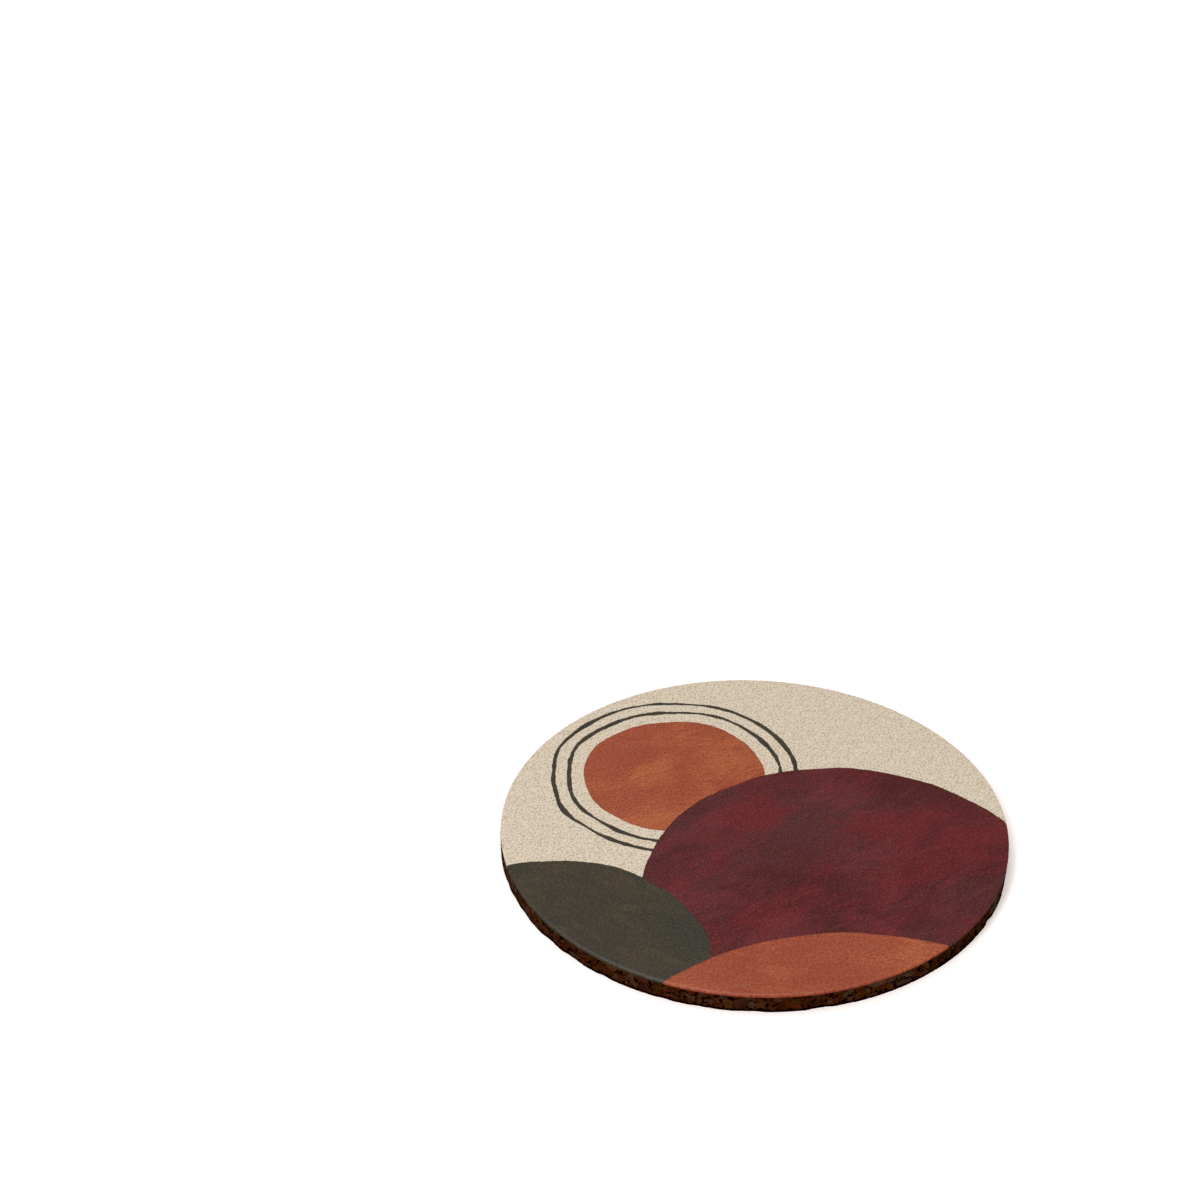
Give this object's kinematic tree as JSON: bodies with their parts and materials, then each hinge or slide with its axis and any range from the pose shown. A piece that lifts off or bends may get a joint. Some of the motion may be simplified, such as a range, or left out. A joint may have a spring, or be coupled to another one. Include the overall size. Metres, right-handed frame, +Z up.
{
  "type": "drink coaster",
  "caption": "Round cork-backed drink coaster: a thin board with a wrapped, clear-coated printed face, glued to a die-cut sheet of agglomerated cork.",
  "frame": {"origin": "centre of the flat underside, on the surface that the coaster lies on", "axes": "+Z up, square to the printed face; the coaster is round about Z, and the printed design reads upright with +Y away from the reader"},
  "size_m": [0.0952, 0.0952, 0.0038],
  "materials": {
    "agglomerated_cork": "die-cut agglomerated cork of dark roasted granules, matt",
    "dried_adhesive": "dried adhesive film, hidden",
    "fibre_board": "dense pressed fibre board, hidden under the print",
    "printed_sheet": "printed matt sheet: cream ground with fine grey-tan speckle, and brushed areas of burgundy, terracotta and dark olive",
    "clear_lacquer": "thin satin clear coat"
  },
  "bodies": {
    "root": {"cork_back": "agglomerated_cork", "glue_film": "dried_adhesive", "top_board": "fibre_board", "printed_sheet": "printed_sheet", "clear_coat": "clear_lacquer"}
  },
  "joints": []
}
